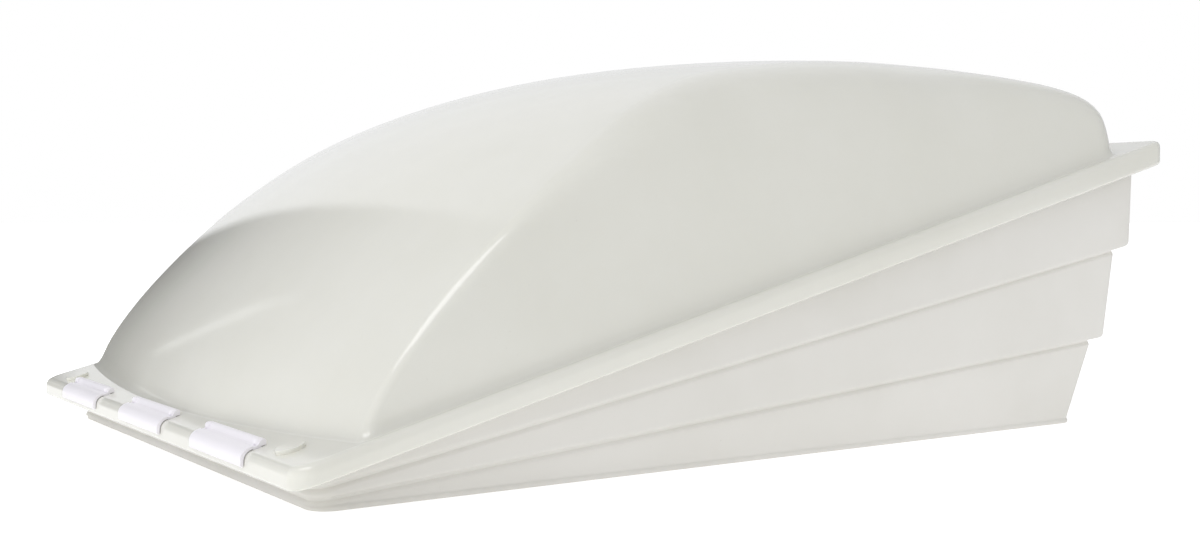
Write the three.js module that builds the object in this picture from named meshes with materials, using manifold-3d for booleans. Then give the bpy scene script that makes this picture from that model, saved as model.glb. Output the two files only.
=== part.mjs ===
// Roof vent cover: a wedge-shaped louvred base and a domed lid that hinges along the low front edge.
// Millimetres. +X is the cover's right, -Y its low front, +Y its louvred rear and +Z up; z = 0 is the roof.
import * as THREE from "three";
import { mergeVertices } from "three/addons/utils/BufferGeometryUtils.js";
import Module from "manifold-3d";

const wasm = await Module();
wasm.setup();

// Driving dimensions.
const GAP = 0.3; // between pieces that touch
const WALL = 2.5; // moulded wall of lid and base
const CORNER_STEPS = 5; // flats in each quarter-round corner

const RIM = { halfWidth: 245, front: -336, rear: 340, corner: 12 };
const RIM_DATUM = -334.5; // y at which the rim's heights are stated
const RIM_EDGE = { z: 16.7, rise: 0.256 }; // rim's lower edge, and its rise per mm towards the rear
const RIM_TOP = { z: 28.2, rise: 0.2642 }; // flange top
const UPPER_STEP = { z: 72.3, rise: 0.181 }; // steps between the base's tiers, stated at y = 0
const LOWER_STEP = { z: 36.4, rise: 0.0885 };
const STEP_HALF = 1.5; // half the height over which a step turns in

const DOME = { halfWidth: 236, front: -345, rear: 305, corner: 24 };
const DOME_LEAN = 0.045; // inward lean of the dome's sides per mm of height
const DOME_REACH = 240; // how far the leaning walls are carried up before they are trimmed
const CROWN = 17.5; // how far the dome's roof stands proud of its side creases
const CROWN_TAPER = { start: 150, end: 290, least: 0.2 };
const PROFILE_STEPS = 30;
const CREASE = [ // side crease of the dome as y, z
  [-313, 2], [-300, 29], [-288, 57.5], [-252, 102], [-192.5, 156], [-119.5, 202.5],
  [-40, 231], [60, 244.5], [160, 246], [246, 242.5], [287, 230.5], [298, 206], [304, 175.5],
];
const EDGE_RADIUS = [ // radius of the dome's rounded side edges, as y, radius
  [-205, 5], [-150, 17], [-50, 50], [140, 52], [225, 34], [280, 24],
];
const DOME_CORE = { y: 60, z: -100 }; // the side edges turn in towards this line
const ROOF_X = [0, 50, 100, 140, 172, 192, 206, 217, 225, 231, 235, 239]; // where the roof's sections stand

const PAD = { x: 203, y: -321, radius: 8, height: 2.2 }; // round pads on the flange's front corners
const LID_REST = 0.5; // between the lid's flange and the base's

const HINGE = { y: -328.5, z: 21, rod: 1.8, knuckle: 4.1, halfLength: 192 };
const LUG_X = [-188, -69, 69, 188];
const LUG = { width: 6, back: -316.5, foot: 2.4 }; // the base's lugs, which hold the rod
const CLIP_X = [-138, 0, 138];
const CLIP = { width: 80, front: -338.2, back: -324, thick: 1.7, lip: 20.5, ridge: 3.6, ease: 0.8 };
const CLIP_RIDGE_WIDTH = 3.5;
const CLIP_MOUTH = 2.8; // opening of the knuckle, narrower than the rod
const STEM = { front: -331.2, back: -326.6 }; // a clip's stem, through a slot in the lid's flange
const SLOT = { bottom: 20, top: 40 }; // heights that the slots' cutter spans

// Rear windows, one in each tier: z of the window's middle on the wall's outer face, and its height.
const WINDOW_HALF_WIDTH = 172;
const WINDOWS = [
  { name: "lower", middle: 33, height: 36, slats: 4 },
  { name: "middle", middle: 96, height: 42, slats: 5 },
  { name: "upper", middle: 160, height: 36, slats: 4 },
];
const GRILLE = { margin: 13, rise: 3, thick: 3, overlap: 2, ribWidth: 3, ribDepth: 2, screwHole: 1.8 };
const SLAT = { depth: 8, thick: 1.6, tilt: 35, back: 2.1 };
const SCREEN_THICK = 0.6;
const SCREEN_FRAME = { thick: 2, bar: 4 };
const SCREW_INSET = 6; // grille screw's centre from the grille frame's end

const SHELF = { bottom: 6, thick: 3, halfWidth: 195, front: -292, rear: 250 };
const THROAT_CORNER = 20;
const FOOT_WIDTH = 4;
const BRACKET = { face: 184, reach: 24, height: 36, width: 24, thick: 2, boltX: 203, screwZ: 32 };
const BRACKET_Y = { front: -100, rear: 170 };
const BOLT = { shaft: 2.5, hole: 3, head: 4.6, headHeight: 3.5, top: 23, washer: 6, washerThick: 1.2 };
const WING_NUT = { hub: 4.6, hubHeight: 5, wing: 4.5, wingThick: 1.8, wingY: 8, wingZ: 6 };
const CURB_SCREW = { hole: 2.4, shaft: 2, length: 12, point: 4, head: 4, headHeight: 2.6 };
const KNOB = { x: 120, y: 323, shaft: 2.2, hole: 3, radius: 7.5, height: 9, tip: -11 };
const KNOB_LOBES = { count: 8, depth: 1 };
const INSERT = { radius: 4.2, boss: 6.5, bottom: -10 }; // threaded insert below the flange top

const MATERIALS = {
  lid: { color: "#e3e3dd", roughness: 0.18, metalness: 0 },
  base: { color: "#e9e8e3", roughness: 0.42, metalness: 0 },
  clip: { color: "#f3f0f6", roughness: 0.35, metalness: 0 },
  knob: { color: "#e6e5e1", roughness: 0.45, metalness: 0 },
  steel: { color: "#b9bcc0", roughness: 0.3, metalness: 1 },
  brass: { color: "#b5975a", roughness: 0.35, metalness: 1 },
  screen: { color: "#6b6e70", roughness: 0.6, metalness: 0 },
};

// Inclined planes: each gives z from y.
const level = (z) => () => z;
const slope = ({ z, rise }, datum = 0) => (y) => z + rise * (y - datum);
const rimEdge = slope(RIM_EDGE, RIM_DATUM);
const rimTop = slope(RIM_TOP, RIM_DATUM);
const upperStep = slope(UPPER_STEP);
const lowerStep = slope(LOWER_STEP);
const raised = (plane, by) => (y) => plane(y) + by;

// Tiers of the base from the roof up: half-width and end of each ring, at the front and at the rear.
const BASE_CORNER = 12;
const BASE_FLANGE_HALF = 240.5;
const BASE_RINGS = [
  { plane: level(0), halfFront: 214.5, halfRear: 215, front: -313, rear: 275.5 },
  { plane: raised(lowerStep, -STEP_HALF), halfFront: 217, halfRear: 220, front: -314.5, rear: 294 },
  { plane: raised(lowerStep, STEP_HALF), halfFront: 219, halfRear: 225, front: -315.5, rear: 303.5 },
  { plane: raised(upperStep, -STEP_HALF), halfFront: 220.5, halfRear: 227, front: -316.5, rear: 311 },
  { plane: raised(upperStep, STEP_HALF), halfFront: 223, halfRear: 232, front: -317.5, rear: 322.5 },
  { plane: raised(rimTop, -WALL - LID_REST), halfFront: 225, halfRear: 233, front: -318.5, rear: 324 },
];

const cover = new THREE.Group();

function toSolid(geometry) {
  const bare = geometry.clone();
  bare.deleteAttribute("normal");
  bare.deleteAttribute("uv");
  const merged = mergeVertices(bare, 1e-4);
  return new wasm.Manifold(new wasm.Mesh({
    numProp: 3,
    vertProperties: new Float32Array(merged.attributes.position.array),
    triVerts: new Uint32Array(merged.index.array),
  }));
}

function toGeometry(solid) {
  const mesh = solid.getMesh();
  const geometry = new THREE.BufferGeometry();
  geometry.setAttribute("position", new THREE.BufferAttribute(mesh.vertProperties, 3));
  geometry.setIndex(new THREE.BufferAttribute(mesh.triVerts, 1));
  geometry.computeVertexNormals();
  return geometry;
}

function addPiece(name, shape, material, parent = cover) {
  const geometry = shape.isBufferGeometry ? shape : toGeometry(shape);
  const mesh = new THREE.Mesh(geometry, new THREE.MeshStandardMaterial(MATERIALS[material]));
  mesh.name = name;
  parent.add(mesh);
  return mesh;
}

// Closed body through a stack of rings with equal numbers of points, flat at both ends.
function loft(rings, flatten) {
  const count = rings[0].length;
  const index = [];
  for (let i = 0; i + 1 < rings.length; i++) {
    for (let j = 0; j < count; j++) {
      const a = i * count + j;
      const b = i * count + ((j + 1) % count);
      index.push(a, b, b + count, a, b + count, a + count);
    }
  }
  const addCap = (ring, offset, facesUp) => {
    const outline = ring.map(flatten);
    for (const [a, b, c] of THREE.ShapeUtils.triangulateShape(outline, [])) {
      const isUp = THREE.ShapeUtils.area([outline[a], outline[b], outline[c]]) > 0;
      index.push(offset + a, ...(isUp === facesUp ? [offset + b, offset + c] : [offset + c, offset + b]));
    }
  };
  addCap(rings[0], 0, false);
  addCap(rings.at(-1), (rings.length - 1) * count, true);
  const geometry = new THREE.BufferGeometry();
  geometry.setFromPoints(rings.flat());
  geometry.setIndex(index);
  return toSolid(geometry);
}

const fromAbove = (point) => new THREE.Vector2(point.x, point.y);
const fromRight = (point) => new THREE.Vector2(point.y, point.z);

// Round-cornered outline on an inclined plane, running counter-clockwise seen from above.
function ring({ plane, halfFront, halfRear, front, rear }, corner, inset = 0) {
  const radius = corner - inset;
  const corners = [
    [halfFront - corner, front + corner, -90],
    [halfRear - corner, rear - corner, 0],
    [corner - halfRear, rear - corner, 90],
    [corner - halfFront, front + corner, 180],
  ];
  return corners.flatMap(([x, y, start]) => Array.from({ length: CORNER_STEPS + 1 }, (_, step) => {
    const angle = THREE.MathUtils.degToRad(start + (90 * step) / CORNER_STEPS);
    const py = y + radius * Math.sin(angle);
    return new THREE.Vector3(x + radius * Math.cos(angle), py, plane(py));
  }));
}

function straightRing(size, plane, lean = 0) {
  const halfWidth = size.halfWidth - lean;
  return { plane, halfFront: halfWidth, halfRear: halfWidth, front: size.front, rear: size.rear };
}

function box(x0, x1, y0, y1, z0, z1) {
  const geometry = new THREE.BoxGeometry(x1 - x0, y1 - y0, z1 - z0);
  geometry.translate((x0 + x1) / 2, (y0 + y1) / 2, (z0 + z1) / 2);
  return toSolid(geometry);
}

// Cylinder about the z, x or y axis, between two places along it.
function rod(radius, from, to, axis = "z", sides = 16) {
  const geometry = new THREE.CylinderGeometry(radius, radius, to - from, sides);
  geometry.rotateX(Math.PI / 2);
  geometry.translate(0, 0, (from + to) / 2);
  if (axis === "x") {
    geometry.rotateY(Math.PI / 2);
  }
  if (axis === "y") {
    geometry.rotateX(-Math.PI / 2);
  }
  return toSolid(geometry);
}

const join = (first, ...others) => others.reduce((whole, part) => whole.add(part), first);
const cut = (first, ...others) => others.reduce((whole, part) => whole.subtract(part), first);

function edgeRadius(y) {
  const next = EDGE_RADIUS.findIndex(([at]) => at > y);
  if (next === 0) {
    return EDGE_RADIUS[0][1];
  }
  if (next < 0) {
    return EDGE_RADIUS.at(-1)[1];
  }
  const [[y0, from], [y1, to]] = [EDGE_RADIUS[next - 1], EDGE_RADIUS[next]];
  return THREE.MathUtils.mapLinear(y, y0, y1, from, to);
}

// How far the roof has turned down at x, on its way round the edge into the side wall.
function edgeDrop(x, y, z, depth) {
  const radius = Math.max(edgeRadius(y) - depth, 1);
  const wall = DOME.halfWidth - DOME_LEAN * (z - rimTop(y)) - depth;
  const into = Math.abs(x) - wall + radius;
  if (into <= 0) {
    return 0;
  }
  return into < radius ? radius - Math.sqrt(radius ** 2 - into ** 2) : into;
}

// The dome's roof: the crease profile carried across the width and raised along its own normal.
function roofBody(depth) {
  const profile = new THREE.SplineCurve(CREASE.map(([y, z]) => new THREE.Vector2(y, z)));
  const core = new THREE.Vector2(DOME_CORE.y, DOME_CORE.z);
  const places = [...ROOF_X.slice(1).reverse().map((x) => -x), ...ROOF_X];
  const rings = [];
  for (const x of places) {
    const across = 1 - (x / DOME.halfWidth) ** 2;
    const section = [];
    for (let step = PROFILE_STEPS; step >= 0; step--) {
      const at = profile.getPoint(step / PROFILE_STEPS);
      const along = profile.getTangent(step / PROFILE_STEPS);
      const out = new THREE.Vector2(-along.y, along.x);
      const fade = THREE.MathUtils.smoothstep(at.x, CROWN_TAPER.start, CROWN_TAPER.end);
      const crown = CROWN * across * (1 - fade * (1 - CROWN_TAPER.least));
      const drop = edgeDrop(x, at.x, at.y, depth);
      at.addScaledVector(out, crown - depth);
      const inward = core.clone().sub(at).normalize();
      at.addScaledVector(inward, -drop / inward.dot(out));
      section.push(new THREE.Vector3(x, at.x, at.y));
    }
    section.push(new THREE.Vector3(x, RIM.front, -60));
    section.push(new THREE.Vector3(x, RIM.rear, -60));
    rings.push(section);
  }
  return loft(rings, fromRight);
}

function domeBody(depth, bottom) {
  const footprint = loft([
    ring(straightRing(DOME, raised(rimTop, bottom), -DOME_LEAN * -bottom), DOME.corner, depth),
    ring(straightRing(DOME, raised(rimTop, DOME_REACH), DOME_LEAN * DOME_REACH), DOME.corner, depth),
  ], fromAbove);
  return roofBody(depth).intersect(footprint);
}

function lidBody() {
  const rimOuter = loft([
    ring(straightRing(RIM, rimEdge), RIM.corner),
    ring(straightRing(RIM, rimTop), RIM.corner),
  ], fromAbove);
  const rimInner = loft([
    ring(straightRing(RIM, raised(rimEdge, -10)), RIM.corner, WALL),
    ring(straightRing(RIM, raised(rimTop, -WALL)), RIM.corner, WALL),
  ], fromAbove);
  const pad = rod(PAD.radius, -WALL / 2, PAD.height);
  const pads = [-1, 1].map((side) => flangeTool(side * PAD.x, PAD.y, pad));
  const outside = join(cut(rimOuter, rimInner), domeBody(0, -WALL), ...pads);
  const knobHoles = [-1, 1].map((side) => flangeTool(side * KNOB.x, KNOB.y, rod(KNOB.hole, -20, 20)));
  const slots = CLIP_X.map((x) => box(
    x - CLIP.width / 2 - GAP, x + CLIP.width / 2 + GAP, STEM.front - GAP, STEM.back + GAP,
    SLOT.bottom, SLOT.top,
  ));
  return cut(outside, domeBody(WALL, -30), ...knobHoles, ...slots);
}

// Moves a tool drawn about the origin onto the flange top, square to it.
const FLANGE_ANGLE = Math.atan(RIM_TOP.rise);
function flangeTool(x, y, solid) {
  return solid.rotate([THREE.MathUtils.radToDeg(FLANGE_ANGLE), 0, 0]).translate([x, y, rimTop(y)]);
}

// A hinge clip laps over the rim's front, and its stem passes through the flange to grip the hinge rod.
function clipBody(x) {
  const half = CLIP.width / 2;
  const under = (y) => rimTop(y) + GAP;
  const over = (y) => under(y) + CLIP.thick;
  const crest = CLIP.back - CLIP_RIDGE_WIDTH;
  const outline = new THREE.Shape([
    [CLIP.front, CLIP.lip + CLIP.ease], [CLIP.front + CLIP.ease, CLIP.lip], [RIM.front - GAP, CLIP.lip],
    [RIM.front - GAP, under(RIM.front)], [STEM.front, under(STEM.front)], [STEM.front, HINGE.z],
    [STEM.back, HINGE.z], [STEM.back, under(STEM.back)], [CLIP.back, under(CLIP.back)],
    [CLIP.back, under(CLIP.back) + CLIP.ridge - 1], [CLIP.back - 1, under(CLIP.back) + CLIP.ridge],
    [crest, under(crest) + CLIP.ridge], [crest - 1.5, over(crest - 1.5)],
    [CLIP.front + 2, over(CLIP.front + 2)], [CLIP.front, over(CLIP.front) - 2],
  ].map(([y, z]) => new THREE.Vector2(y, z)));
  const geometry = new THREE.ExtrudeGeometry(outline, { depth: CLIP.width, bevelEnabled: false });
  geometry.applyMatrix4(new THREE.Matrix4().set(0, 0, 1, x - half, 1, 0, 0, 0, 0, 1, 0, 0, 0, 0, 0, 1));
  const atHinge = (solid) => solid.translate([x, HINGE.y, HINGE.z]);
  const knuckle = atHinge(rod(HINGE.knuckle, -half, half, "x"));
  const bore = atHinge(rod(HINGE.rod + GAP, -half - 1, half + 1, "x"));
  const mouth = atHinge(box(-half - 1, half + 1, -CLIP_MOUTH / 2, CLIP_MOUTH / 2, -8, -1));
  return cut(join(toSolid(geometry), knuckle), bore, mouth);
}

// Outline of one tiered ring, set in by the wall and lifted so that the steps keep their thickness.
function insetRing(tier, lift) {
  return ring({ ...tier, plane: raised(tier.plane, lift) }, BASE_CORNER, WALL);
}

// Outline of the wall at one height between two rings.
function ringBetween(lower, upper, z) {
  const share = (y) => Math.min(1, z / upper.plane(y));
  const { lerp } = THREE.MathUtils;
  return {
    plane: level(z),
    halfFront: lerp(lower.halfFront, upper.halfFront, share(upper.front)),
    halfRear: lerp(lower.halfRear, upper.halfRear, share(upper.rear)),
    front: lerp(lower.front, upper.front, share(upper.front)),
    rear: lerp(lower.rear, upper.rear, share(upper.rear)),
  };
}

function baseLoft() {
  const outer = loft(BASE_RINGS.map((tier) => ring(tier, BASE_CORNER)), fromAbove);
  const [foot, ...tiers] = BASE_RINGS;
  const shelfTop = SHELF.bottom + SHELF.thick;
  const wallAtShelf = ringBetween(foot, tiers[0], shelfTop);
  const inner = loft([
    ring(wallAtShelf, BASE_CORNER, WALL),
    ...tiers.slice(0, -1).map((tier) => insetRing(tier, WALL)),
    insetRing(tiers.at(-1), 10),
  ], fromAbove);
  const under = loft([
    ring({ ...foot, plane: level(-5) }, BASE_CORNER, FOOT_WIDTH),
    ring({ ...foot, plane: level(SHELF.bottom) }, BASE_CORNER, FOOT_WIDTH),
  ], fromAbove);
  const throat = loft([
    ring(straightRing(SHELF, level(-5)), THROAT_CORNER),
    ring(straightRing(SHELF, level(shelfTop + 5)), THROAT_CORNER),
  ], fromAbove);
  return cut(outer, inner, under, throat);
}

// Flange that turns out under the lid's, along both sides and the rear.
function baseFlange() {
  const top = BASE_RINGS.at(-1);
  const halfWidth = BASE_FLANGE_HALF;
  const outline = { ...top, halfFront: halfWidth, halfRear: halfWidth, rear: RIM.rear - WALL - 2 };
  const below = (by) => raised(rimTop, -WALL - LID_REST - by);
  const plate = loft([
    ring({ ...outline, plane: below(WALL) }, BASE_CORNER - 4),
    ring({ ...outline, plane: below(0) }, BASE_CORNER - 4),
  ], fromAbove);
  const middle = loft([
    ring({ ...top, plane: below(20) }, BASE_CORNER, 1),
    ring({ ...top, plane: below(-5) }, BASE_CORNER, 1),
  ], fromAbove);
  return cut(plate, middle);
}

function hingeLug(x) {
  const half = LUG.width / 2;
  const eye = rod(HINGE.knuckle, -half, half, "x").translate([x, HINGE.y, HINGE.z]);
  return join(eye, box(x - half, x + half, HINGE.y, LUG.back, HINGE.z - LUG.foot, HINGE.z + HINGE.knuckle));
}

// Rear wall of each tier: a frame whose +y is the wall's outward normal and whose origin is mid-window.
const WALL_FRAMES = WINDOWS.map((window, tier) => {
  const bottom = BASE_RINGS[tier * 2];
  const top = BASE_RINGS[tier * 2 + 1];
  const [z0, z1] = [bottom.plane(bottom.rear), top.plane(top.rear)];
  const lean = Math.atan((top.rear - bottom.rear) / (z1 - z0));
  const y = bottom.rear + ((window.middle - z0) / (z1 - z0)) * (top.rear - bottom.rear);
  return { lean, position: [0, y, window.middle] };
});

function onWall(tier, solid) {
  const { lean, position } = WALL_FRAMES[tier];
  return solid.rotate([-THREE.MathUtils.radToDeg(lean), 0, 0]).translate(position);
}

const screwX = WINDOW_HALF_WIDTH + GRILLE.margin - SCREW_INSET;

function baseBody() {
  const bosses = [-1, 1].map((side) => flangeTool(side * KNOB.x, KNOB.y, rod(INSERT.boss, -13, -4)));
  const lugs = LUG_X.map(hingeLug);
  const well = rod(KNOB.shaft + GAP, -11.5, 0);
  const pocket = rod(INSERT.radius + GAP, INSERT.bottom - GAP, 1).add(well);
  const pockets = [-1, 1].map((side) => flangeTool(side * KNOB.x, KNOB.y, pocket));
  const hingeBore = rod(HINGE.rod + GAP, -260, 260, "x").translate([0, HINGE.y, HINGE.z]);
  const windows = WINDOWS.map(({ height }, tier) => onWall(tier, box(
    -WINDOW_HALF_WIDTH, WINDOW_HALF_WIDTH, -8, 8, -height / 2, height / 2,
  )));
  const screwHoles = WINDOWS.flatMap((_, tier) => [-1, 1].map((side) => (
    onWall(tier, rod(GRILLE.screwHole, -8, 8, "y").translate([side * screwX, 0, 0])))));
  const boltHoles = bracketPlaces().map(({ side, y }) => (
    rod(BOLT.hole, 0, 15).translate([side * BRACKET.boltX, y, 0])));
  const body = join(baseLoft(), baseFlange(), ...bosses, ...lugs);
  return cut(body, ...pockets, hingeBore, ...windows, ...screwHoles, ...boltHoles);
}

function bracketPlaces() {
  return Object.entries(BRACKET_Y).flatMap(([end, y]) => [
    { name: `${end}_left`, side: -1, y },
    { name: `${end}_right`, side: 1, y },
  ]);
}

// Grille: a flat frame behind the window with sloping slats that stand in the opening.
const WALL_INSIDE = -WALL - 0.6 - GAP; // the lean and the steps thicken the rear walls a little
function grilleBody({ height, slats }) {
  const halfWidth = WINDOW_HALF_WIDTH + GRILLE.margin;
  const halfHeight = height / 2 + GRILLE.rise;
  const innerHalf = WINDOW_HALF_WIDTH - GRILLE.overlap;
  const back = WALL_INSIDE - GRILLE.thick;
  const frame = cut(
    box(-halfWidth, halfWidth, back, WALL_INSIDE, -halfHeight, halfHeight),
    box(-innerHalf, innerHalf, back - 1, 0, -height / 2 + GRILLE.overlap, height / 2 - GRILLE.overlap),
    ...[-1, 1].map((side) => rod(GRILLE.screwHole, -10, 0, "y").translate([side * screwX, 0, 0])),
  );
  const ribs = [-1, 0, 1].map((place) => {
    const x = (place * innerHalf) / 2;
    const half = GRILLE.ribWidth / 2;
    return box(x - half, x + half, back, back + GRILLE.ribDepth, -height / 2, height / 2);
  });
  const pitch = height / slats;
  const blades = Array.from({ length: slats }, (_, row) => {
    const blade = box(-innerHalf - 1, innerHalf + 1, -SLAT.depth / 2, SLAT.depth / 2,
      -SLAT.thick / 2, SLAT.thick / 2);
    return blade.rotate([-SLAT.tilt, 0, 0]).translate([0, -SLAT.back, (row + 0.5) * pitch - height / 2]);
  });
  return join(frame, ...ribs, ...blades);
}

const SCREEN_FACE = WALL_INSIDE - GRILLE.thick - GAP;
function screenBody({ height }) {
  const halfWidth = WINDOW_HALF_WIDTH + 1;
  const halfHeight = height / 2 + 1;
  return box(-halfWidth, halfWidth, SCREEN_FACE - SCREEN_THICK, SCREEN_FACE, -halfHeight, halfHeight);
}

const SCREEN_FRAME_FACE = SCREEN_FACE - SCREEN_THICK - GAP;
function screenFrameBody({ height }) {
  const halfWidth = WINDOW_HALF_WIDTH + GRILLE.margin;
  const halfHeight = height / 2 + GRILLE.rise;
  const innerHalf = WINDOW_HALF_WIDTH - SCREEN_FRAME.bar;
  const innerHeight = height / 2 - SCREEN_FRAME.bar;
  const back = SCREEN_FRAME_FACE - SCREEN_FRAME.thick;
  return cut(
    box(-halfWidth, halfWidth, back, SCREEN_FRAME_FACE, -halfHeight, halfHeight),
    box(-innerHalf, innerHalf, back - 1, SCREEN_FRAME_FACE + 1, -innerHeight, innerHeight),
    ...[-1, 1].map((side) => rod(GRILLE.screwHole, -20, 0, "y").translate([side * screwX, 0, 0])),
  );
}

// Pan-head screw along y: the head outside the wall and the point inside the screen frame.
function grilleScrewBody() {
  const profile = [[0, -13], [1.5, -11.5], [1.5, GAP], [3, GAP], [2.8, 1.4], [1.8, 2.1], [0, 2.3]];
  const geometry = new THREE.LatheGeometry(profile.map(([r, y]) => new THREE.Vector2(r, y)), 14);
  return toSolid(geometry);
}

function bracketBody() {
  const { face, reach, height, thick, width, screwZ } = BRACKET;
  const foot = SHELF.bottom + SHELF.thick + GAP;
  const flat = box(face, face + reach, -width / 2, width / 2, foot, foot + thick);
  const upright = box(face, face + thick, -width / 2, width / 2, foot, foot + height);
  const boltHole = rod(BOLT.hole, 0, 30).translate([BRACKET.boltX, 0, 0]);
  const screwHole = rod(CURB_SCREW.hole, face - 5, face + 10, "x").translate([0, 0, screwZ]);
  return cut(join(flat, upright), boltHole, screwHole);
}

function hexBoltBody() {
  const head = rod(BOLT.head, SHELF.bottom - GAP - BOLT.headHeight, SHELF.bottom - GAP, "z", 6);
  return head.add(rod(BOLT.shaft, SHELF.bottom - GAP - 1, BOLT.top));
}

const WASHER_Z = SHELF.bottom + SHELF.thick + GAP + BRACKET.thick + GAP;
function washerBody() {
  return cut(rod(BOLT.washer, WASHER_Z, WASHER_Z + BOLT.washerThick), rod(BOLT.shaft + GAP, 0, 30));
}

function wingNutBody() {
  const z = WASHER_Z + BOLT.washerThick + GAP;
  const { hub, hubHeight, wing, wingThick, wingY, wingZ } = WING_NUT;
  const half = wingThick / 2;
  const wings = [-1, 1].map((side) => (
    rod(wing, -half, half, "x", 12).translate([0, side * wingY, z + wingZ])));
  const webs = box(-half, half, -wingY - 1, wingY + 1, z + 1, z + hubHeight - 0.5);
  return cut(join(rod(hub, z, z + hubHeight), webs, ...wings), rod(BOLT.shaft + GAP, z - 5, z + 30));
}

// Round-head screw along x that passes through the bracket's upright into the vent's curb.
function curbScrewBody() {
  const { face, thick } = BRACKET;
  const { shaft, length, point, head, headHeight } = CURB_SCREW;
  const under = face + thick + GAP;
  const profile = [
    [0, face - length], [shaft, face - length + point], [shaft, under], [head, under],
    [head - 0.4, under + headHeight - 1], [0, under + headHeight],
  ];
  const geometry = new THREE.LatheGeometry(profile.map(([r, y]) => new THREE.Vector2(r, y)), 16);
  geometry.rotateZ(-Math.PI / 2);
  return toSolid(geometry);
}

function knobBody() {
  const outline = new THREE.Shape(Array.from({ length: KNOB_LOBES.count * 4 }, (_, i) => {
    const angle = (i / (KNOB_LOBES.count * 4)) * 2 * Math.PI;
    const radius = KNOB.radius - (KNOB_LOBES.depth / 2) * (1 - Math.cos(angle * KNOB_LOBES.count));
    return new THREE.Vector2(radius * Math.cos(angle), radius * Math.sin(angle));
  }));
  const grip = new THREE.ExtrudeGeometry(outline, { depth: KNOB.height, bevelEnabled: false });
  grip.translate(0, 0, GAP);
  return toSolid(grip).add(rod(KNOB.shaft, KNOB.tip, GAP + 1));
}

function insertBody() {
  return cut(rod(INSERT.radius, INSERT.bottom, -WALL - 0.8), rod(KNOB.shaft + GAP, -20, 20));
}

function addFlangePieces() {
  for (const [name, side] of [["left", -1], ["right", 1]]) {
    const place = new THREE.Group();
    place.position.set(side * KNOB.x, KNOB.y, rimTop(KNOB.y));
    place.rotation.x = FLANGE_ANGLE;
    cover.add(place);
    addPiece(`thumb_screw_${name}`, knobBody(), "knob", place);
    addPiece(`threaded_insert_${name}`, insertBody(), "brass", place);
  }
}

function addRearWallPieces() {
  WINDOWS.forEach((window, tier) => {
    const wall = new THREE.Group();
    wall.position.set(...WALL_FRAMES[tier].position);
    wall.rotation.x = -WALL_FRAMES[tier].lean;
    cover.add(wall);
    addPiece(`rear_grille_${window.name}`, grilleBody(window), "base", wall);
    addPiece(`insect_screen_${window.name}`, screenBody(window), "screen", wall);
    addPiece(`screen_frame_${window.name}`, screenFrameBody(window), "base", wall);
    for (const [name, side] of [["left", -1], ["right", 1]]) {
      const screw = addPiece(`grille_screw_${window.name}_${name}`, grilleScrewBody(), "steel", wall);
      screw.position.x = side * screwX;
    }
  });
}

function addBracketPieces() {
  for (const { name, side, y } of bracketPlaces()) {
    const place = new THREE.Group();
    place.position.y = y;
    place.rotation.z = side < 0 ? Math.PI : 0;
    cover.add(place);
    addPiece(`mounting_bracket_${name}`, bracketBody(), "steel", place);
    addPiece(`curb_screw_${name}`, curbScrewBody(), "steel", place).position.z = BRACKET.screwZ;
    for (const [piece, body] of [
      ["bracket_bolt", hexBoltBody()], ["bolt_washer", washerBody()], ["wing_nut", wingNutBody()],
    ]) {
      addPiece(`${piece}_${name}`, body, "steel", place).position.x = BRACKET.boltX;
    }
  }
}

function addHingePieces() {
  const { halfLength, y, z } = HINGE;
  addPiece("hinge_rod", rod(HINGE.rod, -halfLength, halfLength, "x"), "steel").position.set(0, y, z);
  CLIP_X.forEach((x, i) => addPiece(`hinge_clip_${["left", "middle", "right"][i]}`, clipBody(x), "clip"));
}

addPiece("lid_dome", lidBody(), "lid");
addPiece("base_shell", baseBody(), "base");
addHingePieces();
addFlangePieces();
addRearWallPieces();
addBracketPieces();

export default cover;
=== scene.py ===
import math

import bmesh
import bpy
import numpy as np
from mathutils import Matrix, Vector


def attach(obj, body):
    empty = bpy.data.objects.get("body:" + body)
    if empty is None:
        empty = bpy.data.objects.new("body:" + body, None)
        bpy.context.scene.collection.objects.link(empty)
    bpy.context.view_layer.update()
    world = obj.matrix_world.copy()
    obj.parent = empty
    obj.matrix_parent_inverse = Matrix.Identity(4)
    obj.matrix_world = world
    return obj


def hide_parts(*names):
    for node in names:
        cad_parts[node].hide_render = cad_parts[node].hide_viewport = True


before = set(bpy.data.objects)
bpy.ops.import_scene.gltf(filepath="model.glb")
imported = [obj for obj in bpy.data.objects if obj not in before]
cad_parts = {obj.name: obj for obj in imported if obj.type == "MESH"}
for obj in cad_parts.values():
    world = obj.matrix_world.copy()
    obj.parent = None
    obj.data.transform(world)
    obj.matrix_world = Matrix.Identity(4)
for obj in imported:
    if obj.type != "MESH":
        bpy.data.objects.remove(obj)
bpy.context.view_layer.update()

# A roof vent cover: a glossy translucent lid on a tiered louvred base.
# Sizes are millimetres and become metres as each piece is made. They repeat the CAD part's dimensions.
MM = 0.001
SIDES = (("left", -1), ("right", 1))

GAP = 0.3
WALL = 2.5

# Lid.
RIM = {"half": 245, "front": -336, "rear": 340, "corner": 12}
RIM_DATUM = -334.5
RIM_ROUND = {"inset": 4.8, "drop": 5.5}  # the rim's broad top rounding
RIM_LIP = 2.4  # radius of the rim's lower edge
DOME_HALF = 236
DOME_LEAN = 0.045
CROWN = 17.3
CROWN_TAPER = (150, 290, 0.2)
CREASE = (
    (-313, 2), (-300, 29), (-288, 57.5), (-252, 102), (-192.5, 156), (-119.5, 202.5), (-40, 231),
    (60, 244.5), (160, 246), (246, 242.5), (287, 230.5), (298, 206), (304, 175.5),
)
PROFILE_SMOOTHING = 9  # length over which the crease profile is evened out
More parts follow.
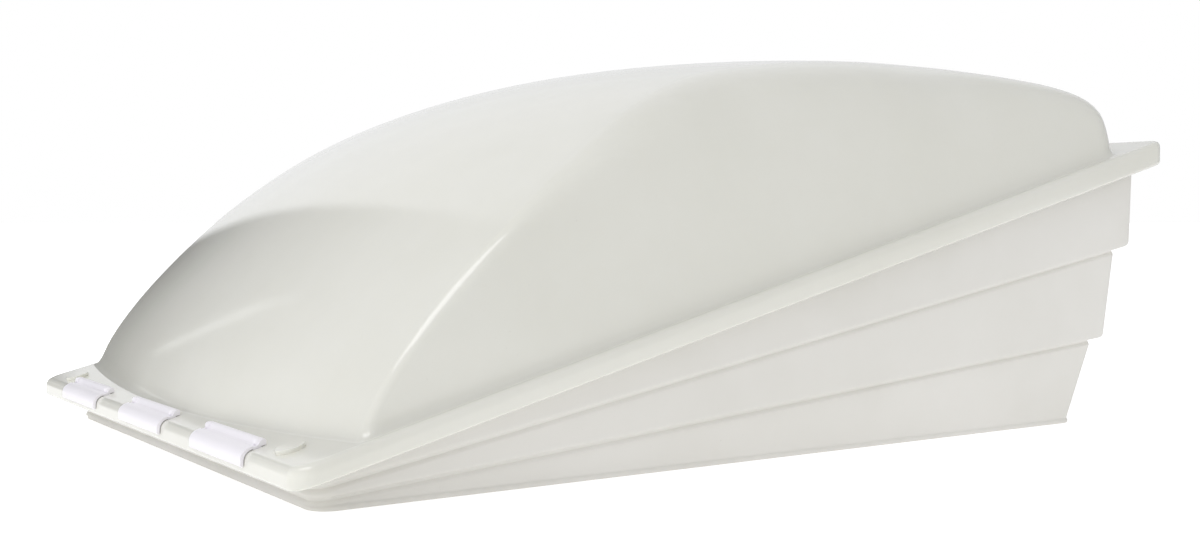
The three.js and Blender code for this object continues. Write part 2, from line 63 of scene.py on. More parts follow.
# Radius of the edge between the roof and the sides: y along the dome, then the radius there.
EDGE_RADIUS = ((-313, 4.5), (-205, 6), (-150, 17), (-50, 50), (140, 52), (225, 34), (280, 24), (311, 22))
BASE_FILLET = {"rise": 6.5, "run": 4}  # between the dome and the flange
DOME_ROWS = 96
ROOF_COLUMNS = 52
EDGE_STEPS = 12
WALL_STEPS = 5
FILLET_STEPS = 6
PAD = {"x": 203, "y": -321, "radius": 8, "height": 2.2}

# Base.
LID_REST = 0.5
BASE_CORNER = 12
CORNER_STEPS = 10
STEP_HALF = 1.5
SHELF = {"bottom": 6, "thick": 3, "half": 195, "front": -292, "rear": 250, "corner": 20}
SHELF_TOP = SHELF["bottom"] + SHELF["thick"]
FOOT_WIDTH = 4
BEAD = 0.7  # how far the foot's bead stands out
HOLLOW = 1.2  # depth of the hollow under each tier's lip
FLANGE = {"half": 240.5, "corner": 8}  # the base's top edge, turned out under the lid's

# Hinge.
HINGE = {"y": -328.5, "z": 21, "rod": 1.8, "knuckle": 4.1, "half": 192}
LUG_X = (-188, -69, 69, 188)
LUG_WIDTH = 6
LUG_ROOT = -316.4  # inside the base's front wall
CLIP_X = (("left", -138), ("middle", 0), ("right", 138))
CLIP = {"width": 80, "front": -338.2, "back": -324, "thick": 1.7, "lip": 20.5, "ridge": 3.6}
STEM = {"front": -331.2, "back": -326.6}  # a clip's stem, through a slot in the lid's flange

# Rear windows.
WINDOW_HALF = 172
WINDOWS = (("lower", 33, 36, 4), ("middle", 96, 42, 5), ("upper", 160, 36, 4))
GRILLE = {"margin": 13, "thick": 3, "overlap": 2, "depth": 8, "blade": 1.6, "tilt": math.radians(35)}
WALL_SLACK = 0.6  # the wall is a little thicker across its lean
WALL_INSIDE = -WALL - WALL_SLACK - GAP
SCREEN_FACE = WALL_INSIDE - GRILLE["thick"] - GAP
SCREEN_THICK = 0.6
SCREEN_PITCH = 2.4
WIRE = 0.16
SCREW = {"shaft": 1.5, "hole": 1.8, "inset": 6}
SCREW_X = WINDOW_HALF + GRILLE["margin"] - SCREW["inset"]

# Fastenings.
BRACKET = {"face": 184, "reach": 24, "height": 36, "width": 24, "thick": 2, "bolt_x": 203, "screw_z": 32}
BRACKET_Y = (("front", -100), ("rear", 170))
CURB_SCREW = {"shaft": 2, "hole": 2.4, "length": 12}
BOLT = {"shaft": 2.5, "hole": 3, "head": 4.6, "height": 3.5, "washer": 6, "washer_thick": 1.2, "top": 23}
KNOB = {"x": 120, "y": 323, "shaft": 2.2, "hole": 3, "radius": 7.5, "height": 9, "lobes": 8}
INSERT = {"radius": 4.2, "boss": 6.5, "top": -3.3, "bottom": -10}

# Camera and lamp places are metres. The camera is nearly level, a little over a metre away.
CAMERA_PLACE = (0.8915, -0.6001, 0.1469)
CAMERA_AZIMUTH = math.radians(55.83)
CAMERA_ELEVATION = math.radians(1.96)
CAMERA_LENS = 43.5

# Light.
ROOM_LIGHT = 0.62
FRONT_LIGHT = 0.72  # added in front
REAR_SHADE = 0.15  # taken away behind
WALL_LIGHT = 0.12
WALL_TOP_LIGHT = 0.6
WINDOW_LIGHT = 0.88
LAMP_LIGHT = 0.4
SKYLINE = {"height": 0.25, "tilt": 0.46, "blur": 0.012}  # where the dark wall on the left ends
FLOOR_HALF = 60.0
FLOOR_GLOW = 0.32
FLOOR_GLOW_SEEN = 0.6
STRIP = {"place": (0.35, -1.1, 1.7), "target": (0, 0, 0.05), "size": (1.6, 0.7), "power": 8.5}


# ---- planes and outlines

def level(z):
    return lambda y: z + 0 * y


def slope(z, rise, datum=0):
    return lambda y: z + rise * (y - datum)


def raised(plane, by):
    return lambda y: plane(y) + by


rim_edge = slope(16.7, 0.256, RIM_DATUM)
RIM_RISE = 0.2642
rim_top = slope(28.2, RIM_RISE, RIM_DATUM)
upper_step = slope(72.3, 0.181)
lower_step = slope(36.4, 0.0885)
FLANGE_ANGLE = math.atan(RIM_RISE)

# Tiers of the base from the roof up: plane, half-width at the front and the rear, front end, rear end.
TIERS = (
    (level(0), 214.5, 215, -313, 275.5),
    (raised(lower_step, -STEP_HALF), 217, 220, -314.5, 294),
    (raised(lower_step, STEP_HALF), 219, 225, -315.5, 303.5),
    (raised(upper_step, -STEP_HALF), 220.5, 227, -316.5, 311),
    (raised(upper_step, STEP_HALF), 223, 232, -317.5, 322.5),
    (raised(rim_top, -WALL - LID_REST), 225, 233, -318.5, 324),
)


def ring(tier, corner=BASE_CORNER, inset=0.0, lift=0.0):
    """Round-cornered outline on an inclined plane, counter-clockwise seen from above."""
    plane, half_front, half_rear, front, rear = tier
    radius = corner - inset
    corners = (
        (half_front - corner, front + corner, -90), (half_rear - corner, rear - corner, 0),
        (corner - half_rear, rear - corner, 90), (corner - half_front, front + corner, 180),
    )
    points = []
    for x, y, start in corners:
        for px, py in arc_points(x, y, radius, start, start + 90, CORNER_STEPS):
            points.append((px, py, plane(py) + lift))
    return np.array(points)


def mixed(lower, upper, share, lift=0.0):
    """A tier between two others: their outlines and planes mixed."""
    numbers = [a + (b - a) * share for a, b in zip(lower[1:], upper[1:])]
    return (lambda y: (1 - share) * lower[0](y) + share * upper[0](y) + lift, *numbers)


# ---- shapes: (points, faces)

def grid_faces(rows, columns, wrap=False):
    faces = []
    for i in range(rows - 1):
        for j in range(columns if wrap else columns - 1):
            k = (j + 1) % columns
            faces.append((i * columns + j, i * columns + k, (i + 1) * columns + k, (i + 1) * columns + j))
    return faces


def combined(*shapes):
    points, faces, start = [], [], 0
    for some, their_faces in shapes:
        points.append(np.asarray(some, float))
        faces += [tuple(start + v for v in face) for face in their_faces]
        start += len(some)
    return np.concatenate(points), faces


def placed(shape, matrix):
    points, faces = shape
    matrix = np.array(matrix)
    return np.asarray(points, float) @ matrix[:3, :3].T + matrix[:3, 3], faces


def moved(shape, x=0.0, y=0.0, z=0.0):
    return np.asarray(shape[0], float) + (x, y, z), shape[1]


def stack(rings, capped=True):
    """Skin through rings of equal counts: capped, or with the last ring joined to the first."""
    count = len(rings[0])
    points = np.concatenate(rings)
    faces = grid_faces(len(rings), count, wrap=True)
    last = (len(rings) - 1) * count
    if capped:
        faces.append(tuple(reversed(range(count))))
        faces.append(tuple(range(last, last + count)))
    else:
        faces += [(last + j, last + (j + 1) % count, (j + 1) % count, j) for j in range(count)]
    return points, faces


def box(x0, x1, y0, y1, z0, z1):
    outline = np.array([(x0, y0), (x1, y0), (x1, y1), (x0, y1)])
    return prism(outline, z0, z1)


def prism(outline, z0, z1):
    outline = np.asarray(outline, float)
    return stack([np.column_stack([outline, np.full(len(outline), z)]) for z in (z0, z1)])


def around(sides):
    """Evenly spaced angles of a full turn."""
    return np.linspace(0, 2 * math.pi, sides, endpoint=False)


def circle(radius, z, sides):
    """Ring of points about z, whose radius may differ from point to point."""
    angles = around(sides)
    return np.column_stack([radius * np.cos(angles), radius * np.sin(angles), np.full(sides, z)])


def turned(profile, sides=32, axis="z"):
    """Solid of revolution from (radius, height) pairs, with flat ends."""
    return turned_to(stack([circle(radius, z, sides) for radius, z in profile]), axis)


def turned_to(shape, axis):
    """A shape drawn about z, laid along another axis."""
    points, faces = shape
    if axis == "x":
        points = points[:, [2, 0, 1]]
    if axis == "y":
        points = points[:, [1, 2, 0]]
    return points, faces


def cylinder(radius, start, end, axis="z", sides=32):
    return turned([(radius, start), (radius, end)], sides, axis)


def pipe(outer, inner, start, end, chamfer, sides):
    """Ring-shaped collar with eased edges."""
    profile = [
        (inner + chamfer, start), (outer - chamfer, start), (outer, start + chamfer), (outer, end - chamfer),
        (outer - chamfer, end), (inner + chamfer, end), (inner, end - chamfer), (inner, start + chamfer),
    ]
    return stack([circle(radius, z, sides) for radius, z in profile], capped=False)


def thread(radius, depth, pitch, start, end, tip=0.0, sides=20, per_pitch=6):
    """Threaded rod: a helical ridge on a cylinder, pointed over the length tip at its start."""
    angles = around(sides)
    count = max(2, round((end - start) / pitch * per_pitch))
    rings = []
    for step in range(count + 1):
        z = start + (end - start) * step / count
        phase = (z / pitch - angles / (2 * math.pi)) % 1
        ridge = depth * np.abs(2 * phase - 1)
        ease = min(1.0, (step + 0.3) / (0.8 * per_pitch), (count - step) / (0.5 * per_pitch))
        r = radius - depth + ridge * max(0.0, ease)
        if tip:
            r = r * min(1.0, 0.12 + 0.88 * (z - start) / tip)
        rings.append(circle(r, z, sides))
    return stack(rings)


def arc_points(x, y, radius, start, end, steps):
    """Points along an arc in a plane, its ends given in degrees."""
    angles = np.radians(np.linspace(start, end, steps + 1))
    return [(x + radius * math.cos(a), y + radius * math.sin(a)) for a in angles]


def rounded(half_x, half_z, corner):
    """Round-cornered rectangle about the origin."""
    points = []
    for side, end, start in ((1, -1, -90), (1, 1, 0), (-1, 1, 90), (-1, -1, 180)):
        x, z = side * (half_x - corner), end * (half_z - corner)
        points += arc_points(x, z, corner, start, start + 90, 6)
    return np.array(points)


def upright_stack(sections, capped=True):
    """Skin through outlines in x and z, each at its own y, running towards -y."""
    return stack([
        np.column_stack([outline[:, 0], np.full(len(outline), y), outline[:, 1]]) for outline, y in sections
    ], capped)


def unit(vectors):
    return vectors / np.linalg.norm(vectors, axis=-1, keepdims=True)


def bezier(a, b, c, steps):
    """Points after a, up to and including c, on the curve that leaves a and reaches c along b."""
    shares = np.linspace(0, 1, steps + 1)[1:]
    return [(1 - t) ** 2 * a + 2 * t * (1 - t) * b + t * t * c for t in shares]


# ---- objects

def add_object(name, data):
    added = bpy.data.objects.new(name, data)
    bpy.context.scene.collection.objects.link(added)
    return added


def make(name, shape, merge=0.0005):
    points, faces = shape
    mesh = bpy.data.meshes.new(name)
    mesh.from_pydata((np.asarray(points, float) * MM).tolist(), [], faces)
    bm = bmesh.new()
    bm.from_mesh(mesh)
    bmesh.ops.remove_doubles(bm, verts=bm.verts, dist=merge * MM)
    bmesh.ops.recalc_face_normals(bm, faces=bm.faces)
    bm.to_mesh(mesh)
    bm.free()
    return add_object(name, mesh)


def modify(piece, kind, **values):
    modifier = piece.modifiers.new(kind.lower(), kind)
    for name, value in values.items():
        setattr(modifier, name, value)


def settle(piece):
    """Applies the piece's modifiers."""
    graph = bpy.context.evaluated_depsgraph_get()
    old = piece.data
    piece.data = bpy.data.meshes.new_from_object(piece.evaluated_get(graph))
    piece.modifiers.clear()
    bpy.data.meshes.remove(old)


def carve(piece, shapes, operation="DIFFERENCE"):
    """Cuts shapes out of a piece, or joins them to it, as one clean solid."""
    for shape in shapes:
        tool = make("tool", shape)
        modify(piece, "BOOLEAN", operation=operation, solver="EXACT", object=tool)
        settle(piece)
        bpy.data.objects.remove(tool)


def ease_edges(piece, width, segments, angle):
    limit = math.radians(angle)
    modify(piece, "BEVEL", width=width * MM, segments=segments, limit_method="ANGLE", angle_limit=limit)
    settle(piece)


def smooth(piece, angle):
    for polygon in piece.data.polygons:
        polygon.use_smooth = True
    piece.data.set_sharp_from_angle(angle=math.radians(angle))
    modify(piece, "WEIGHTED_NORMAL", keep_sharp=True, weight=60)


def finish_piece(piece, body, slot, nodes, angle=35):
    smooth(piece, angle)
    piece.data.materials.clear()
    piece.data.materials.append(MATERIALS[slot])
    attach(piece, body)
    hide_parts(*nodes)


# ---- materials

class Nodes:
    """A material's node tree, with short calls to add and link nodes."""

    def __init__(self, name):
        self.material = bpy.data.materials.new(name)
        self.material.use_nodes = True
        self.tree = self.material.node_tree
        self.shader = self.tree.nodes["Principled BSDF"]

    def feed(self, socket, value):
        """Links a socket to another's output, or sets its value."""
        if isinstance(value, bpy.types.NodeSocket):
            self.tree.links.new(value, socket)
        else:
            socket.default_value = value

    def fill(self, node, **inputs):
        for name, value in inputs.items():
            self.feed(node.inputs[name.replace("_", " ")], value)

    def add(self, kind, **inputs):
        node = self.tree.nodes.new(kind)
        self.fill(node, **inputs)
        return node

    def shade(self, **inputs):
        self.fill(self.shader, **inputs)

    def coordinates(self, stretch):
        place = self.add("ShaderNodeTexCoord").outputs["Object"]
        return self.add("ShaderNodeMapping", Vector=place, Scale=stretch).outputs[0]

    def noise(self, scale, detail, roughness=0.55, stretch=(1, 1, 1), seed=0.0):
        node = self.add("ShaderNodeTexNoise", Vector=self.coordinates(stretch))
        node.noise_dimensions = "4D"
        self.fill(node, W=seed, Scale=scale, Detail=detail, Roughness=roughness)
        return node.outputs[0]

    def ramp(self, value, low, high, to_low, to_high):
        limits = {"From_Min": low, "From_Max": high, "To_Min": to_low, "To_Max": to_high}
        return self.add("ShaderNodeMapRange", Value=value, **limits).outputs[0]

    def blend(self, share, first, second):
        node = self.add("ShaderNodeMix")
        node.data_type = "RGBA"
        for index, value in ((0, share), (6, first), (7, second)):
            self.feed(node.inputs[index], value)
        return node.outputs[2]

    def sum(self, first, second, operation="ADD"):
        node = self.add("ShaderNodeMath")
        node.operation = operation
        for socket, value in zip(node.inputs, (first, second)):
            self.feed(socket, value)
        return node.outputs[0]

    def bump(self, height, distance):
        node = self.add("ShaderNodeBump", Strength=1.0, Distance=distance, Height=height)
        self.shade(Normal=node.outputs[0])


def linear(red, green, blue):
    """A display colour, 0 to 255, as the linear colour that nodes take."""
    def one(value):
        value /= 255
        return value / 12.92 if value <= 0.04045 else ((value + 0.055) / 1.055) ** 2.4
    return one(red), one(green), one(blue), 1.0


def plastic(name, light, dark, roughness, texture, texture_depth, coat=0.0, glow=0.0):
    """Moulded plastic: faint mottling, handling marks in the gloss and a fine moulded texture."""
    n = Nodes(name)
    mottle = n.ramp(n.noise(9, detail=5, seed=1), 0.35, 0.65, 0, 1)
    specks = n.ramp(n.noise(900, detail=2, seed=2), 0.68, 0.8, 0, 0.35)
    colour = n.blend(mottle, light, dark)
    colour = n.blend(specks, colour, linear(196, 192, 182))
    n.shade(Base_Color=colour)
    smudge = n.ramp(n.noise(16, detail=6, roughness=0.65, seed=3), 0.35, 0.75, roughness, roughness * 1.45)
    rub = n.ramp(n.noise(240, detail=3, stretch=(1, 0.08, 0.3), seed=4), 0.6, 0.8, 0, roughness * 0.35)
    n.shade(Roughness=n.sum(smudge, rub))
    grain = n.noise(texture, detail=3, seed=5)
    flow = n.sum(n.noise(14, detail=2, seed=6), 6.0, "MULTIPLY")
    n.bump(n.sum(grain, flow), texture_depth)
    if coat:
        n.shade(Coat_Weight=coat, Coat_Roughness=0.05)
    if glow:
        reach = (0.012, 0.0115, 0.0105)
        n.shade(Subsurface_Weight=glow, Subsurface_Radius=reach, Subsurface_Scale=1.0)
    return n.material


def metal(name, light, dark, roughness, stretch):
    """Plated metal with drawn scratches, faint tarnish and uneven gloss."""
    n = Nodes(name)
    n.shade(Metallic=1.0)
    patches = n.ramp(n.noise(60, detail=6, roughness=0.6, seed=11), 0.38, 0.66, 0, 1)
    n.shade(Base_Color=n.blend(patches, light, dark))
    drawn = n.noise(700, detail=4, stretch=stretch, seed=12)
    uneven = n.noise(110, detail=5, seed=13)
    gloss = n.sum(
        n.ramp(drawn, 0.3, 0.7, roughness * 0.75, roughness * 1.25), n.ramp(uneven, 0.4, 0.7, 0, 0.12),
    )
    n.shade(Roughness=gloss)
    n.bump(n.sum(drawn, n.noise(180, detail=3, seed=14)), 0.00002)
    return n.material


def wire_material():
    n = Nodes("coated_wire")
    n.shade(Metallic=0.35)
    shade = n.ramp(n.noise(420, detail=4, seed=21), 0.35, 0.7, 0, 1)
    n.shade(Base_Color=n.blend(shade, linear(120, 122, 124), linear(84, 86, 88)))
    n.shade(Roughness=n.ramp(n.noise(300, detail=3, seed=22), 0.3, 0.7, 0.42, 0.62))
    n.bump(n.noise(2600, detail=2, seed=23), 0.00002)
    return n.material


MATERIALS = {
    "lid": plastic("glossy_lid", linear(233, 232, 223), linear(229, 228, 218), 0.09, 420, 0.00001,
                   coat=0.5, glow=0.25),
    "base": plastic("satin_base", linear(236, 234, 229), linear(231, 229, 223), 0.36, 1500, 0.00003),
    "grille": plastic("grille_plastic", linear(229, 228, 223), linear(222, 220, 214), 0.42, 1500, 0.00003),
    "clip": plastic("clip_plastic", linear(248, 245, 250), linear(244, 241, 247), 0.3, 1300, 0.00002),
    "knob": plastic("knob_plastic", linear(226, 225, 221), linear(218, 216, 210), 0.4, 1800, 0.00004),
    "steel": metal("zinc_steel", linear(196, 198, 202), linear(166, 169, 174), 0.26, (1, 1, 0.1)),
    "brass": metal("brass", linear(202, 170, 104), linear(168, 136, 78), 0.3, (0.15, 1, 1)),
    "screen": wire_material(),
}


# ---- lid

def crease_profile():
    """The crease as finely spaced (y, z) points: a spline through its points, evened out."""
    points = np.array(CREASE, float)
    padded = np.vstack([points[0], points, points[-1]])
    fine = []
    for i in range(len(points) - 1):
        a, b, c, d = padded[i:i + 4]
        for t in np.linspace(0, 1, 60, endpoint=False):
            fine.append(0.5 * (
                2 * b + (c - a) * t + (2 * a - 5 * b + 4 * c - d) * t ** 2 + (3 * b - a - 3 * c + d) * t ** 3
            ))
    fine = np.array(fine + [points[-1]])
    run = np.concatenate([[0], np.cumsum(np.linalg.norm(np.diff(fine, axis=0), axis=1))])
    even = np.arange(0, run[-1])
    fine = np.column_stack([np.interp(even, run, fine[:, k]) for k in range(2)])
    reach = int(3 * PROFILE_SMOOTHING)
    window = np.exp(-0.5 * (np.arange(-reach, reach + 1) / PROFILE_SMOOTHING) ** 2)
    window /= window.sum()
    ahead, behind = fine[1] - fine[0], fine[-1] - fine[-2]
    before = fine[0] + np.arange(-reach, 0)[:, None] * ahead
    after = fine[-1] + np.arange(1, reach + 1)[:, None] * behind
    long = np.vstack([before, fine, after])
    return np.column_stack([np.convolve(long[:, k], window, "valid") for k in range(2)])


PROFILE = crease_profile()
TANGENT = unit(np.gradient(PROFILE, axis=0))
NORMAL = np.column_stack([-TANGENT[:, 1], TANGENT[:, 0]])


def smoothstep(value, low, high):
    t = np.clip((value - low) / (high - low), 0, 1)
    return t * t * (3 - 2 * t)


def side_x(y, z):
    """Where the dome's leaning side wall stands."""
    return DOME_HALF - DOME_LEAN * (z - rim_top(y))


def edge_radius():
    ys, radii = zip(*EDGE_RADIUS)
    raw = np.interp(PROFILE[:, 0], ys, radii)
    window = np.hanning(61)
    window /= window.sum()
    return np.convolve(np.pad(raw, 30, mode="edge"), window, "valid")


EDGE = edge_radius()


def roof_line(x):
    """The roof's line at one x: the profile raised along its own normal by the crown."""
    taper = 1 - smoothstep(PROFILE[:, 0], *CROWN_TAPER[:2]) * (1 - CROWN_TAPER[2])
    proud = CROWN * (1 - (x / DOME_HALF) ** 2) * taper
    line = PROFILE + NORMAL * proud[:, None]
    return np.column_stack([x * np.ones(len(line)), line])


def trimmed(line, above):
    """A line's points at even shares of its run, where it is more than this far above the flange."""
    height = line[:, 2] - rim_top(line[:, 1]) - above
    over = np.nonzero(height > 0)[0]
    first, last = over[0], over[-1]
    start = first - height[first] / (height[first] - height[first - 1])
    end = last + height[last] / (height[last] - height[last + 1])
    at = start + (end - start) * np.linspace(0, 1, DOME_ROWS)
    index = np.arange(len(line))
    return np.column_stack([np.interp(at, index, line[:, k]) for k in range(3)])


def roof_columns(above):
    """The roof from the left edge's start to the right edge's start, each row a station along the dome."""
    shares = np.sin(np.linspace(-1, 1, ROOF_COLUMNS + 1) * math.pi / 2 * 0.86)
    shares /= shares[-1]
    half = side_x(PROFILE[:, 0], PROFILE[:, 1]) - EDGE
    return [trimmed(roof_line(share * half), above) for share in shares]


def edge_columns(side, above):
    """The round edge between roof and side, from the roof outwards."""
    y, z = PROFILE[:, 0], PROFILE[:, 1]
    out = side_x(y, z)
    start = roof_line(side * (out - EDGE))
    drop = CROWN * (EDGE / DOME_HALF) ** 2
    corner = np.column_stack([side * out, PROFILE - NORMAL * drop[:, None]])
    low = PROFILE - NORMAL * EDGE[:, None]
    end = np.column_stack([side * side_x(low[:, 0], low[:, 1]), low])
    a, b, c = (trimmed(line, above) for line in (start, corner, end))
    return bezier(a, b, c, EDGE_STEPS)


def wall_columns(side, edge, above):
    """The flat side below the round edge, down to just above the flange."""
    run = np.linspace(edge[0, 1], edge[-1, 1], DOME_ROWS)
    foot_z = rim_top(run) + above
    foot = np.column_stack([side * side_x(run, foot_z), run, foot_z])
    return [edge + (foot - edge) * step / WALL_STEPS for step in range(1, WALL_STEPS + 1)]


def rim_points(share_x, share_y, corner_steps, inset, plane):
    """The rim's outline, in the same order as the dome's foot: front, right, rear and left."""
    radius = RIM["corner"] - inset
    half = RIM["half"] - RIM["corner"]
    front, rear = RIM["front"] + RIM["corner"], RIM["rear"] - RIM["corner"]

    def arc(x, y, start):
        angles = np.radians(start + 90 * np.arange(1, corner_steps) / corner_steps)
        return np.column_stack([x + radius * np.cos(angles), y + radius * np.sin(angles)])

    along = front + (rear - front) * share_y
    across = half * share_x
    points = np.vstack([
        np.column_stack([across, np.full(len(across), front - radius)]), arc(half, front, -90),
        np.column_stack([np.full(len(along), half + radius), along]), arc(half, rear, 0),
        np.column_stack([across[::-1], np.full(len(across), rear + radius)]), arc(-half, rear, 90),
        np.column_stack([np.full(len(along), -half - radius), along[::-1]]), arc(-half, front, 180),
    ])
    return np.column_stack([points, plane(points[:, 1])])


def lid_sheet():
    """The lid's outer face as one open sheet: roof, round edges, sides, fillet, flange, rim and skirt."""
    above = BASE_FILLET["rise"]
    roof = roof_columns(above)
    left, right = (edge_columns(side, above) for side in (-1, 1))
    columns = left[::-1] + roof + right
    dome = np.stack(columns, axis=1)
    rows, count = dome.shape[:2]
    walls = {side: wall_columns(side, edge[-1], above) for side, edge in ((-1, left), (1, right))}

    # The dome's foot, counter-clockwise from the front's left end, with the outward normal at each point.
    normals = unit(np.cross(np.gradient(dome, axis=1), np.gradient(dome, axis=0)))
    lean = np.array((1, 0, DOME_LEAN)) / math.hypot(1, DOME_LEAN)
    lean[1] = -DOME_LEAN * RIM_RISE
    flat = {1: lean, -1: lean * (-1, 1, 1)}
    right_foot, left_foot = walls[1][-1], walls[-1][-1]
    normals[:, 0], normals[:, -1] = flat[-1], flat[1]
    loop = np.vstack([dome[0], right_foot[1:-1], dome[-1][::-1], left_foot[1:-1][::-1]])
    inner = rows - 2
    facing = unit(np.vstack([
        normals[0], np.tile(flat[1], (inner, 1)), normals[-1][::-1], np.tile(flat[-1], (inner, 1)),
    ]))

    up = np.array((0, -RIM_RISE, 1)) / math.hypot(1, RIM_RISE)
    down = unit(facing * (facing @ up)[:, None] - up)
    root = loop + down * ((loop @ up - (0, 0, rim_top(0)) @ up) / -(down @ up))[:, None]
    out = unit(facing - (facing @ up)[:, None] * up)
    toe = root + out * BASE_FILLET["run"]
    reach = RIM["half"] - RIM_ROUND["inset"] - 0.2
    toe[:, 0] = np.clip(toe[:, 0], -reach, reach)

    # Outlines of the rim, matched to the foot point by point.
    share_x, share_y = np.linspace(-1, 1, len(roof)), np.linspace(0, 1, rows)

    def outline(inset, plane):
        points = rim_points(share_x, share_y, EDGE_STEPS, inset, plane)
        return np.roll(points, EDGE_STEPS, axis=0)[:len(loop)]

    rings = bezier(loop, root, toe, FILLET_STEPS)
    edge_start = outline(RIM_ROUND["inset"], rim_top)
    rings += [toe + (edge_start - toe) * share for share in (0.33, 0.67)] + [edge_start]
    shoulder = raised(rim_top, -RIM_ROUND["drop"])
    rings += bezier(edge_start, outline(0, rim_top), outline(0, shoulder), 8)
    lip = outline(0, raised(rim_edge, RIM_LIP))
    rings += [0.5 * (rings[-1] + lip), lip]
    rings += bezier(lip, outline(0, rim_edge), outline(RIM_LIP, rim_edge), 4)

    shapes = [(dome.reshape(-1, 3), grid_faces(rows, count))]
    for side, edge in ((-1, left), (1, right)):
        wall = np.stack([edge[-1], *walls[side]], axis=1)
        shapes.append((wall.reshape(-1, 3), grid_faces(rows, WALL_STEPS + 1)))
    skirt = np.concatenate([loop, *rings])
    shapes.append((skirt, grid_faces(len(rings) + 1, len(loop), wrap=True)))
    return combined(*shapes)


def flange_place(x, y):
    turn = Matrix.Rotation(FLANGE_ANGLE, 4, "X")
    return Matrix.Translation((x, y, rim_top(y))) @ turn


def knob_place(side):
    return flange_place(side * KNOB["x"], KNOB["y"])


def at_knobs(shape):
    """A shape repeated at both thumb screws, along their axes."""
    return combined(*[placed(shape, knob_place(side)) for _, side in SIDES])


def pad():
    """A low round pad with a softened edge, on the flange."""
    radius, height = PAD["radius"], PAD["height"]
    return turned([
        (radius, -1), (radius, height - 0.7), (radius - 0.25, height - 0.2), (radius - 0.8, height),
    ], 48)


def add_lid():
    lid = make("lid_shell", lid_sheet(), merge=0.02)
    modify(lid, "SOLIDIFY", thickness=WALL * MM, offset=-1)
    settle(lid)
    pads = [placed(pad(), flange_place(side * PAD["x"], PAD["y"])) for _, side in SIDES]
    carve(lid, [combined(*pads)], "UNION")
    holes = at_knobs(cylinder(KNOB["hole"], -8, 8))
    reach = CLIP["width"] / 2 + GAP
    slots = [box(x - reach, x + reach, STEM["front"] - GAP, STEM["back"] + GAP, 20, 40) for _, x in CLIP_X]
    carve(lid, [combined(holes, *slots)])
    finish_piece(lid, "lid", "lid", ["lid_dome"], angle=40)


# ---- base

def lip_rings(lower, upper):
    """The turn from one tier out to the next: a hollow run along the wall, then a rounded lip."""
    start = ring(lower, lift=-4.2)
    deep = ring(lower, inset=HOLLOW, lift=-1.6)
    entry = bezier(start, ring(lower, inset=HOLLOW * 0.2, lift=-2.6), deep, 4)
    under = ring(mixed(lower, upper, 0.4, -0.7))
    hollow = bezier(deep, ring(lower, inset=HOLLOW, lift=0.2), under, 4)
    low = ring(mixed(lower, upper, 0.62, -1.05))
    corner = ring((raised(upper[0], -3.0), *upper[1:]))
    return [start, *entry, *hollow, low, *bezier(low, corner, ring(upper, lift=0.6), 6)]


def base_rings():
    """The base from its foot up the outside, over the flange and down the inside to the foot again."""
    foot, *tiers = TIERS

    def bead(z, out):
        return ring((level(z), foot[1] + out, foot[2] + out, foot[3] - out, foot[4] + out))

    outer = [
        bead(0, -0.5), bead(0.3, 0.1 + BEAD * 0.5), bead(1.1, BEAD), bead(2.1, BEAD),
        bead(2.9, 0.2 + BEAD * 0.4), bead(3.7, 0.1),
    ]
    outer += lip_rings(tiers[0], tiers[1]) + lip_rings(tiers[2], tiers[3])
    top = tiers[4]
    under = raised(rim_top, -2 * WALL - LID_REST)
    flange = (FLANGE["half"], FLANGE["half"], top[3] - 0.7, RIM["rear"] - WALL - 2)
    corner = FLANGE["corner"]
    turn = [size + grown for size, grown in zip(top[1:], (0.3, 0.3, -0.2, 0.4))]
    # The flange turns out under the lid's along the sides and the rear.
    outer += [
        ring((under, *top[1:]), lift=-0.6), ring((under, *turn)),
        ring((under, *flange), corner, inset=0.4), ring((under, *flange), corner, lift=0.4),
        ring((top[0], *flange), corner, lift=-0.5), ring((top[0], *flange), corner, inset=0.5),
    ]
    inner = [ring(top, inset=WALL)]
    for tier, lift in zip(tiers[::-1], (-6, WALL + 1, WALL, WALL + 1, WALL)):
        inner.append(ring(tier, inset=WALL, lift=lift))
    shelf = (level(SHELF_TOP), *mixed(foot, tiers[0], SHELF_TOP / lower_step(0))[1:])

    def throat(z, inset=0.0):
        half = SHELF["half"]
        return ring((level(z), half, half, SHELF["front"], SHELF["rear"]), SHELF["corner"], inset)

    def foot_inner(z):
        return ring((level(z), *foot[1:]), inset=FOOT_WIDTH)

    inner += [
        ring(shelf, inset=WALL, lift=0.8), ring(shelf, inset=WALL + 0.8), throat(SHELF_TOP, -0.5),
        throat(SHELF_TOP - 0.5), throat(SHELF["bottom"] + 0.5), throat(SHELF["bottom"], -0.5),
        foot_inner(SHELF["bottom"]), foot_inner(0.4), ring((level(0), *foot[1:]), inset=FOOT_WIDTH - 0.4),
    ]
    return outer + inner


def wall_places():
    """Rear wall of each tier: +y is its outward normal, and the origin is the window's middle."""
    places = []
    for tier, (_, middle, _, _) in enumerate(WINDOWS):
        low, high = TIERS[2 * tier], TIERS[2 * tier + 1]
        z0, z1 = low[0](low[4]), high[0](high[4])
        lean = math.atan((high[4] - low[4]) / (z1 - z0))
        y = low[4] + (middle - z0) / (z1 - z0) * (high[4] - low[4])
        places.append(Matrix.Translation((0, y, middle)) @ Matrix.Rotation(-lean, 4, "X"))
    return places


WALL_PLACES = wall_places()


def window_tool(height):
    """Cuts a round-cornered window whose outer edge is eased."""
    plain = rounded(WINDOW_HALF, height / 2, 4)
    wide = rounded(WINDOW_HALF + 1.2, height / 2 + 1.2, 5.2)
    wider = rounded(WINDOW_HALF + 9.2, height / 2 + 9.2, 13.2)
    return upright_stack([(wider, 8), (wide, 0), (plain, -1.2), (plain, -9)])


